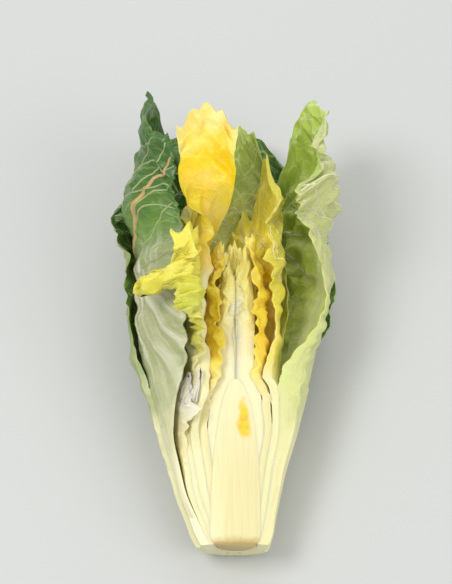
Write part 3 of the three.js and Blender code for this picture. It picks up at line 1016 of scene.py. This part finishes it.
# Each begins with the colours of the petiole, the blade, its patches, the tip, the veins, the outer face and the
# streaks on it.
FINISHES: dict[Skin, LeafFinish] = {
    Skin.BUD: LeafFinish("f0eabf", "f8efb2", "faf5d2", "f9f4ce", "fbf9e6", "f5e9a2", "e3d38c",
                         subsurface=0.6),
    Skin.HEART: LeafFinish("f0eabf", "f8eeaa", "faf4c8", "f7e878", "fbf8e0", "f5e480", "e3cd6c",
                           blade_from=0.45, subsurface=0.6),
    Skin.HEART_YELLOW: LeafFinish("ebe2ac", "f8dc48", "fbe982", "f8ea80", "fbf3bd", "f6d636", "dcb832",
                                  blade_from=0.45, subsurface=0.6),
    Skin.HEART_GOLD: LeafFinish("ebe2ac", "fdd63a", "fde560", "fbea70", "fcee98", "fcd23c", "ecc244",
                                blade_from=0.38, subsurface=0.65),
    Skin.TALL_YELLOW: LeafFinish("e9e5b4", "f5ca08", "f8da2c", "f6eeb4", "f8e454", "eccf30", "c9b83c",
                                 blade_from=0.62, tip_from=0.97, subsurface=0.5, veins=0.4),
    Skin.CURLED_YELLOW: LeafFinish("ebe3ae", "cfd048", "8fae34", "ecdc50", "f2eb94", "f2e258", "b0b43e",
                                   blade_from=0.46, patchiness=0.8, subsurface=0.5),
    Skin.RIGHT_YELLOW: LeafFinish("ece8b2", "f0d222", "dbd648", "f3e250", "f3e678", "ead950", "b3b048",
                                  blade_from=0.4, subsurface=0.5),
    Skin.PALE_GREEN: LeafFinish("eae4b0", "c6d45e", "e0e686", "b4ca56", "dfe6a8", "cdcf92", "93a04e",
                                roughness=0.34, subsurface=0.4),
    Skin.OLIVE: LeafFinish("e8e6b0", "d0d266", "dcd66c", "9dae48", "d6db8e", "b4b968", "8b9640",
                           subsurface=0.4),
    # The dark green leaf's khaki outer-face colour is painted shade.
    Skin.DARK_GREEN: LeafFinish("e5e0b6", "4c7527", "7fa342", "3d6626", "8ea552", "b4b488", "e2e0c6",
                                # Its whitish streak colour and strong streaks are partly real lengthwise streaks
                                # and partly a painted highlight.
                                roughness=0.3, back_to=0.6, streaks=0.75),
    Skin.BACK_GREEN: LeafFinish("e2dfae", "5f8534", "86a748", "48702e", "c8d48c", "9da662", "7f8d48"),
    Skin.TORN_WHITE: LeafFinish("ebe2ac", "f6f2e2", "efe8cc", "f9f6ea", "fbfaf2", "eee7c8", "ddd0a4",
                                blade_from=0.64, veins=0.1, patchiness=0.3, subsurface=0.5),
}


@dataclass(frozen=True)
class FleshFinish:
    """The stem's cut flesh: cream with fine lengthwise streaks, a yellow slit, and a tan rim at the butt."""

    flesh: str = "e7dea9"
    streak: str = PETIOLE_STREAK
    top: str = "f1ebc4"
    slit: str = "f2cf2c"
    core: str = "e0a020"
    rim: str = "b99a55"
    streak_edge: Span = (0.42, 0.7)
    top_edge: Span = (0.4, 1.0)
    slit_side: float = 0.46
    slit_edge: Span = (0.1, 0.42)
    slit_begins: Span = (0.6, 0.68)
    slit_ends: Span = (0.8, 0.88)
    core_edge: Span = (0.4, 0.75)
    rim_edge: Span = (0.0, 0.06)
    streak_mark: float = 0.55
    top_mark: float = 0.6
    slit_mark: float = 0.95
    core_mark: float = 0.5
    rim_mark: float = 0.75
    ragged_across: float = 0.7
    ragged_along: float = 0.2
    rim_wander: float = 0.04
    roughness: float = 0.34
    speck_roughness: float = 0.12
    speck_relief: float = 0.3

    def build(self, name: str) -> bpy.types.Material:
        """The material, from the stem's own attributes."""
        material, g = empty_material(name)
        rise, side = g.read("rise"), g.read("side")
        streaked = g.noise(g.vector("MULTIPLY", g.grain(), STREAKS), 1.0, detail=3.0)
        specks = g.noise(g.here(), FLESH_SPECKS)
        colour = g.blend(g.step(*self.streak_edge, streaked) * self.streak_mark, self.flesh, self.streak)
        colour = g.blend(g.step(*self.top_edge, rise) * self.top_mark, colour, self.top)

        ragged = g.noise(g.here(), RAGGED, detail=3.0) - 0.5
        beside = g.step(*self.slit_edge, abs(side - self.slit_side + ragged * self.ragged_across))
        along = rise + ragged * self.ragged_along
        slit = (1 - beside) * g.step(*self.slit_begins, along) * (1 - g.step(*self.slit_ends, along))
        colour = g.blend(slit * self.slit_mark, colour, self.slit)
        colour = g.blend(slit * g.step(*self.core_edge, specks) * self.core_mark, colour, self.core)
        low = 1 - g.step(*self.rim_edge, rise + (specks - 0.5) * self.rim_wander)
        colour = g.blend(low * self.rim_mark, colour, self.rim)
        rough, relief = self.roughness + specks * self.speck_roughness, streaked + specks * self.speck_relief
        Moist(glow=0.3, glow_radius=(1.0, 1.0, 0.8), glow_depth=0.0005, coat=0.2,
              coat_roughness=0.25, relief=0.4, relief_height=0.0004).end(g, colour, rough, relief)
        return material


def closed_shell(inner: Array, outer: Array) -> tuple[Array, Array]:
    """A closed thin shell from two grids of points.

    Args:
        inner: points of the inner face, in rows along the leaf.
        outer: points of the outer face.

    Returns:
        All points, and the four corners of every face, with faces pointing out.
    """
    rows, columns = inner.shape[:2]
    points = np.concatenate([inner.reshape(-1, 3), outer.reshape(-1, 3)])
    number = np.arange(2 * rows * columns).reshape(2, rows, columns)
    a, b = number

    def quads(p: Array, q: Array, r: Array, s: Array) -> Array:
        """Faces through four equal grids of point numbers."""
        return np.stack([p.ravel(), q.ravel(), r.ravel(), s.ravel()], axis=1)

    faces = np.concatenate([
        quads(a[:-1, :-1], a[:-1, 1:], a[1:, 1:], a[1:, :-1]),
        quads(b[:-1, :-1], b[1:, :-1], b[1:, 1:], b[:-1, 1:]),
        quads(a[:-1, 0], a[1:, 0], b[1:, 0], b[:-1, 0]),
        quads(a[1:, -1], a[:-1, -1], b[:-1, -1], b[1:, -1]),
        quads(a[0, 1:], a[0, :-1], b[0, :-1], b[0, 1:]),
        quads(a[-1, :-1], a[-1, 1:], b[-1, 1:], b[-1, :-1]),
    ])
    return points, faces


def mesh_of(name: str, points: Array, faces: list[list[int]], edges: list[tuple[int, int]],
            facts: dict[str, Array]) -> bpy.types.Mesh:
    """A mesh with attributes on its points.

    Args:
        name: the mesh's name.
        points: its points in metres.
        faces: the point numbers of its faces, none for a wire.
        edges: the edges of a wire.
        facts: attributes by name, a number or a vector for each point.

    Returns:
        The mesh.
    """
    mesh = bpy.data.meshes.new(name)
    mesh.from_pydata(points.tolist(), edges, faces)
    for title, values in facts.items():
        vector = values.ndim == 2
        layer = mesh.attributes.new(title, "FLOAT_VECTOR" if vector else "FLOAT", "POINT")
        layer.data.foreach_set("vector" if vector else "value", values.astype(np.float32).ravel())
    mesh.update()
    return mesh


def ridden(piece: bpy.types.Object, node: str) -> bpy.types.Object:
    """A finished piece in the place of its solid."""
    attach(piece, "root")
    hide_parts(node)
    return piece


@dataclass
class LeafBuilder:
    """Builds the leaves' fine meshes and their veins, and dresses them."""

    head: PackedHead
    trees: CrumpleNodes
    origin: tuple[float, float]
    step: float = 0.72
    rim_rows: tuple[float, ...] = (0.35, 0.75, 0.93)
    core: float = 0.02
    most_filled: float = 8.0
    filled_past_cut: Span = (2.0, 9.0)
    stout_past_cut: Span = (-3.0, 8.0)
    stout_from: Span = (42.0, 60.0)
    stout_to: Span = (80.0, 98.0)
    ridge_width: float = 3.1
    ridges_from: Span = (0.05, 0.2)
    ridges_to: Span = (0.5, 0.72)
    sharp_from: float = math.radians(52)
    seed_step: float = 0.37
    least_arc: float = 8.0
    least_rib: float = 0.5
    lifted: Span = (0.2, 5.0)
    rib_stiffness: tuple[float, float] = (0.75, 1.6)
    vein_radius: float = 0.56
    vein_tip_radius: float = 0.31
    vein_sides: int = 6
    vein_points: int = 90
    veins_to: float = 0.82
    vein_run: Span = (0.04, 2.4)
    vein_slope: float = 0.16
    vein_bend: float = 0.85
    vein_stagger: float = 0.02
    vein_wander: float = 0.012
    vein_ends: float = 0.985
    fork_at: float = 0.42
    fork_slope: float = 0.13
    fork_girth: float = 0.62
    bold_girth: float = 4.6
    bold_slope: float = 2.1
    bold_wander: float = 0.004
    bold_rise: float = 0.32
    inside: Span = (0.02, 0.98)
    fewest_points: int = 6

    def build(self, number: int, leaf: Leaf, material: bpy.types.Material,
              vein: bpy.types.Material | None) -> bpy.types.Object:
        """One leaf with its raised veins, in the place of its solid.

        Args:
            number: the leaf's number, which seeds its crumples.
            leaf: the leaf.
            material: its finish.
            vein: the finish of its veins, or None for a leaf without them.

        Returns:
            The finished piece.
        """
        values = {"Blister Size": leaf.blister_size * MM, "Blister Height": leaf.blister * MM,
                  "Crumple Size": leaf.crumple_size * MM, "Crumple Height": leaf.crumple * MM,
                  "Seed": self.seed_step * (number + 1)}
        piece = self.trees.leaf.made_from(
            self._blade(leaf), leaf.name + "_look", {**values, "Material": material})
        piece.data.shade_smooth()
        piece.data.set_sharp_from_angle(angle=self.sharp_from)
        if vein:
            raised = self.trees.veins.made_from(
                self._wire(leaf), leaf.name + "_veins", {**values, "Sides": self.vein_sides, "Material": vein})
            raised.data.shade_smooth()
            both = [piece, raised]
            with bpy.context.temp_override(active_object=piece, object=piece, selected_objects=both,
                                           selected_editable_objects=both):
                bpy.ops.object.join()
        return ridden(piece, leaf.name)

    def _facts(self, leaf: Leaf, at: Spot) -> dict[str, Array]:
        """What the trees and the finish read at every point."""
        s = self.head.shape
        near, far = (s.to_row(self.head.place(leaf, at, np.full_like(at.radius, depth)), (0, 0))
                     for depth in (0.0, 1.0))
        outward = far - near
        outward /= np.maximum(1e-9, np.linalg.norm(outward, axis=-1, keepdims=True))
        arc = np.maximum(self.least_arc, at.radius)
        off = np.radians(at.angle - leaf.rib) * arc
        if leaf.rolled:
            off = off + np.radians(np.minimum(0, at.angle + s.cut_angle)) * (s.roll_arc - arc)
        stiff = s.rib_height(leaf, at.u, at.side) / max(self.least_rib, leaf.thick - s.blade)
        most, gain = self.rib_stiffness
        loose = smooth(*leaf.loose_from, at.u) * smooth(*self.lifted, s.clearance(at))
        loose = loose * (1 - most * share(gain * stiff))
        place = np.stack([off * MM, at.u * (leaf.tip - leaf.start) * MM, 0 * off], axis=-1)
        return {"rise": share(at.u) + 0 * off, "side": at.side, "ribbed": stiff, "loose": loose,
                "place": place, "outward": outward}

    def _grid(self, leaf: Leaf) -> Spot:
        """The places of a leaf's grid of points, with rows along it and columns across it."""
        s = self.head.shape
        middle = self.head.spot(leaf, np.linspace(0, 1, 30), np.full(30, 0.5))
        lowest, highest = self.head.margins(leaf, middle.u)
        widest = float(np.max(np.radians(highest - lowest) * np.maximum(10, middle.radius)))
        rows = int((leaf.tip - leaf.start + s.fade) / self.step) + 1
        columns = int(widest / self.step) + 1
        lowest_u = -min(s.fade * 0.9, leaf.start) / (leaf.tip - leaf.start)
        u, v = np.meshgrid(np.linspace(lowest_u, 1, rows), np.linspace(0, 1, columns), indexing="ij")
        return self.head.spot(leaf, u, v)

    def _rims(self, size: tuple[int, ...]) -> Array:
        """Share of its thickness that each point of a grid keeps, less in the rows at its rims."""
        keep = np.ones(size)
        for row, kept in enumerate(self.rim_rows):
            for ring in (keep[row], keep[-1 - row], keep[:, row], keep[:, -1 - row]):
                np.minimum(ring, kept, out=ring)
        return keep

    def _ridges(self, leaf: Leaf, at: Spot, off: Array) -> Array:
        """Height of the ridges along a petiole's outer face, which fade where it lies on the floor."""
        ridge = leaf.ridges * unsteady(off / self.ridge_width, leaf.phase) * smooth(*self.ridges_from, at.u)
        return ridge * (1 - smooth(*self.ridges_to, at.u)) * smooth(0.0, 1.0, self.head.shape.clearance(at))

    def _blade(self, leaf: Leaf) -> bpy.types.Mesh:
        """The leaf's two faces and rounded margins on a fine grid, its base filled out to what lies inside."""
        s = self.head.shape
        at = self._grid(leaf)
        past = np.abs(at.angle) - s.cut_angle
        base = 1 - smooth(*leaf.filled_to, at.y)
        inside = np.maximum(self.core, self.head.within(leaf, at.angle, at.y))
        filled = np.clip(at.radius - inside, 0, self.most_filled) * base
        filled = filled * (1 - smooth(*self.filled_past_cut, past))
        full = s.seen_thickness(leaf, at.u, at.side)
        full = full * np.maximum(0.05, smooth(-s.fade, 0, at.y - leaf.start))
        stout = leaf.stout * smooth(*self.stout_past_cut, past)
        full = full + stout * smooth(*self.stout_from, at.y) * (1 - smooth(*self.stout_to, at.y))
        keep = self._rims(full.shape)
        keep = keep + (1 - keep) * base

        facts = self._facts(leaf, at)
        ridge = self._ridges(leaf, at, facts["place"][..., 0] / MM) * (keep > 0.99)
        thick, middle = full + filled, (full - filled) / 2
        inner = s.to_row(self.head.place(leaf, at, middle - thick * keep / 2), self.origin)
        outer = s.to_row(self.head.place(leaf, at, middle + thick * keep / 2 + ridge), self.origin)
        points, faces = closed_shell(inner, outer)
        count = full.size
        both = {name: np.concatenate([value.reshape(count, -1)] * 2).squeeze() for name, value in facts.items()}
        both["outer"] = np.repeat([0.0, 1.0], count)
        both["grain"] = both["place"].copy()
        both["grain"][count:, 2] = thick.ravel() * MM
        return mesh_of(leaf.name, points, faces.tolist(), [], both)

    def _vein(self, leaf: Leaf, number: int, way: int, fork: float, bold: bool) -> Spot | None:
        """The path of one side vein.

        Args:
            leaf: the leaf.
            number: the vein's number, counted from the base.
            way: its side of the midrib, -1 for the left and 1 for the right.
            fork: how far out it leaves another vein, or 0 where it leaves the midrib.
            bold: whether it is the bold one.

        Returns:
            The places of its points, or None where too few are inside the leaf.
        """
        first, last = self.vein_run
        run = np.linspace(fork + first, last, self.vein_points)
        wander = self.bold_wander if bold else self.vein_wander
        drift = wander * wave(1.3 * run + 0.37 * number + 0.2 * way)
        slope = self.vein_slope * (self.bold_slope if bold else 1.0)
        base = leaf.veins_from + (self.veins_to - leaf.veins_from) * number / leaf.veins
        u = base + self.vein_stagger * way + slope * run ** self.vein_bend + drift
        u = u + (self.fork_slope * (run - fork) if fork else 0.0)
        keep = u < self.vein_ends
        u, side = u[keep], way * run[keep]
        left, right = self.head.shape.reach(leaf, u)
        angle = leaf.rib + side * (left if way < 0 else right)
        lowest, highest = self.head.margins(leaf, u)
        v = (angle - lowest) / (highest - lowest)
        low, high = self.inside
        count = int(np.argmin(np.append((v > low) & (v < high), False)))
        return self.head.spot(leaf, u[:count], v[:count]) if count >= self.fewest_points else None

    def _wire(self, leaf: Leaf) -> bpy.types.Mesh:
        """The paths of the side veins, which leave the midrib and fan out to the margins."""
        s = self.head.shape
        points, facts, edges, count = [], [], [], 0
        for number, way, fork in itertools.product(range(leaf.veins), (-1, 1), (0.0, self.fork_at)):
            bold = number == leaf.bold_vein and way < 0 and not fork
            at = self._vein(leaf, number, way, fork, bold)
            if at is None:
                continue
            slim = (self.fork_girth if fork else 1.0) * (self.bold_girth if bold else 1.0)
            thinning = (self.vein_radius - self.vein_tip_radius) * slim * (1 - np.linspace(0, 1, at.u.size))
            girth = self.vein_tip_radius + thinning
            depth = s.seen_thickness(leaf, at.u, at.side)
            depth = depth + self.bold_rise - girth if bold else depth / 2
            points.append(s.to_row(self.head.place(leaf, at, depth), self.origin))
            boldness = np.full(at.u.size, float(bold))
            facts.append({**self._facts(leaf, at), "girth": girth * MM, "bold": boldness})
            edges += [(i, i + 1) for i in range(count, count + at.u.size - 1)]
            count += at.u.size
        joined = {name: np.concatenate([f[name] for f in facts]) for name in facts[0]}
        joined["outer"] = np.zeros(count)
        return mesh_of(leaf.name + "_paths", np.concatenate(points), [], edges, joined)


@dataclass
class Stem:
    """The short tapering stem, cut lengthwise, with a convex cut face."""

    shape: HeadShape
    origin: tuple[float, float]
    rows: int = 90
    around: int = 96
    wider: float = 0.35
    dome: float = 0.3
    groove: float = 0.16
    rounding: float = 0.08
    rounded_to: float = 0.012

    def build(self, material: bpy.types.Material) -> bpy.types.Object:
        """The stem in the place of its solid."""
        s = self.shape
        rise = np.sin(np.linspace(0, math.pi / 2, self.rows))
        turn = np.linspace(0, 2 * math.pi, self.around, endpoint=False)
        rise, turn = np.meshgrid(rise, turn, indexing="ij")
        y = rise * s.stem_length
        radius = s.stem_radius_at(np.minimum(y, s.stem_length * 0.9995)) * (1 + self.wider / s.stem_radius)
        rounded = smooth(0, self.rounded_to, rise) * self.rounding + (1 - self.rounding)
        grooved = wave(5 * turn / math.pi) + wave(3.5 * turn / math.pi + y / 90)
        across = np.sin(turn) * radius * rounded
        up = np.cos(turn)
        height = np.where(up > 0, up ** 2 * self.dome * radius / s.stem_radius, up * radius)
        points = np.stack([across * (1 + self.groove / s.stem_radius * grooved), y, height * rounded], axis=-1)
        points = s.to_row(s.crowned(points), self.origin).reshape(-1, 3)
        grid = np.arange(self.rows * self.around).reshape(self.rows, self.around)
        after = np.roll(grid, -1, axis=1)
        sides = np.stack([grid[:-1].ravel(), grid[1:].ravel(), after[1:].ravel(), after[:-1].ravel()], axis=1)
        faces = [*sides.tolist(), grid[0].tolist(), grid[-1][::-1].tolist()]
        grain = np.stack([across * MM, y * MM, np.minimum(height, 0) * MM], axis=-1).reshape(-1, 3)
        mesh = mesh_of("stem_look", points, faces, [],
                       {"rise": rise.ravel(), "side": np.sin(turn).ravel(), "grain": grain})
        mesh.materials.append(material)
        mesh.shade_smooth()
        return ridden(linked("stem_look", mesh), "stem")


@dataclass(frozen=True)
class Lamp:
    """A soft square light: where it stands from the object's middle, its size and its power."""

    name: str
    offset: tuple[float, float, float]
    size: float
    power: float


def aimed(data: bpy.types.ID, place: Vector, target: Vector) -> bpy.types.Object:
    """A lamp or camera that stands at a place and looks at a target."""
    made = linked(data.name, data)
    made.location = place
    made.rotation_euler = (target - place).to_track_quat("-Z", "Y").to_euler()
    return made


@dataclass(frozen=True)
class Studio:
    """A plain pale floor, soft light from above and the camera at the photograph's angle."""

    elevation: float = 57.0
    distance: float = 0.62
    lens: float = 126.0
    sensor: float = 36.0
    floor_size: float = 3.0
    floor_colour: Colour = (0.58, 0.59, 0.58, 1.0)
    floor_roughness: float = 0.8
    sky: Colour = (0.97, 0.97, 0.96, 1.0)
    sky_strength: float = 0.62
    lamps: tuple[Lamp, ...] = (
        Lamp("key", (-0.35, -0.1, 0.6), 0.3, 2.35), Lamp("fill", (0.5, -0.35, 0.45), 0.6, 1.9),
        Lamp("rim", (0.05, 0.55, 0.4), 0.4, 1.1))

    def build(self, low: Vector, high: Vector) -> None:
        """Floor, lights, world and camera round the object's box."""
        centre = (low + high) / 2
        self._floor()
        for lamp in self.lamps:
            light = bpy.data.lights.new(lamp.name, "AREA")
            light.size, light.energy = lamp.size, lamp.power
            aimed(light, centre + Vector(lamp.offset), centre)
        world = bpy.data.worlds.new("studio")
        bpy.context.scene.world = world
        world.use_nodes = True
        g = Graph(world.node_tree)
        sky = g.node("ShaderNodeBackground", None, {"Color": self.sky, "Strength": self.sky_strength})
        g.node("ShaderNodeOutputWorld", None, {"Surface": sky.outputs[0]})
        bpy.context.scene.view_settings.view_transform = "Standard"

        camera = bpy.data.cameras.new("camera")
        camera.lens, camera.sensor_width, camera.sensor_fit = self.lens, self.sensor, "VERTICAL"
        camera.sensor_height = self.sensor
        up = math.radians(self.elevation)
        away = Vector((0, -math.cos(up), math.sin(up))) * self.distance
        bpy.context.scene.camera = aimed(camera, centre + away, centre)

    def _floor(self) -> None:
        """The plain pale floor."""
        size = self.floor_size / 2
        mesh = bpy.data.meshes.new("floor")
        corners = [(-size, -size, 0), (size, -size, 0), (size, size, 0), (-size, size, 0)]
        mesh.from_pydata(corners, [], [(0, 1, 2, 3)])
        material, g = empty_material("floor")
        shader = g.node("ShaderNodeBsdfPrincipled", None,
                        {"Base Color": self.floor_colour, "Roughness": self.floor_roughness})
        g.node("ShaderNodeOutputMaterial", None, {"Surface": shader.outputs[0]})
        mesh.materials.append(material)
        linked("floor", mesh)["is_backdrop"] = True


def head_origin(shape: HeadShape) -> tuple[float, float]:
    """Where the head frame's origin lies on the floor, from the stem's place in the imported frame."""
    low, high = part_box("stem")
    return (low.x + high.x) / 2, low.y + shape.stem_proud * math.sin(shape.tilt) * MM


def main() -> None:
    """Builds the stem, every leaf and the studio."""
    logging.basicConfig(level=logging.INFO, format="%(message)s")
    shape = HeadShape()
    origin = head_origin(shape)
    stem = Stem(shape, origin).build(FleshFinish().build("cream_flesh"))
    LOG.info("%s: %d faces", stem.name, len(stem.data.polygons))

    builder = LeafBuilder(PackedHead(shape), CrumpleNodes(), origin)
    for number, leaf in enumerate(LEAVES):
        finish = FINISHES[leaf.skin]
        vein = VeinFinish(finish.vein).build(leaf.name + "_veins") if leaf.veins else None
        piece = builder.build(number, leaf, finish.build(leaf.name), vein)
        LOG.info("%s: %d faces", piece.name, len(piece.data.polygons))

    low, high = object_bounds()
    Studio().build(low, high)


if __name__ == "__main__":
    main()
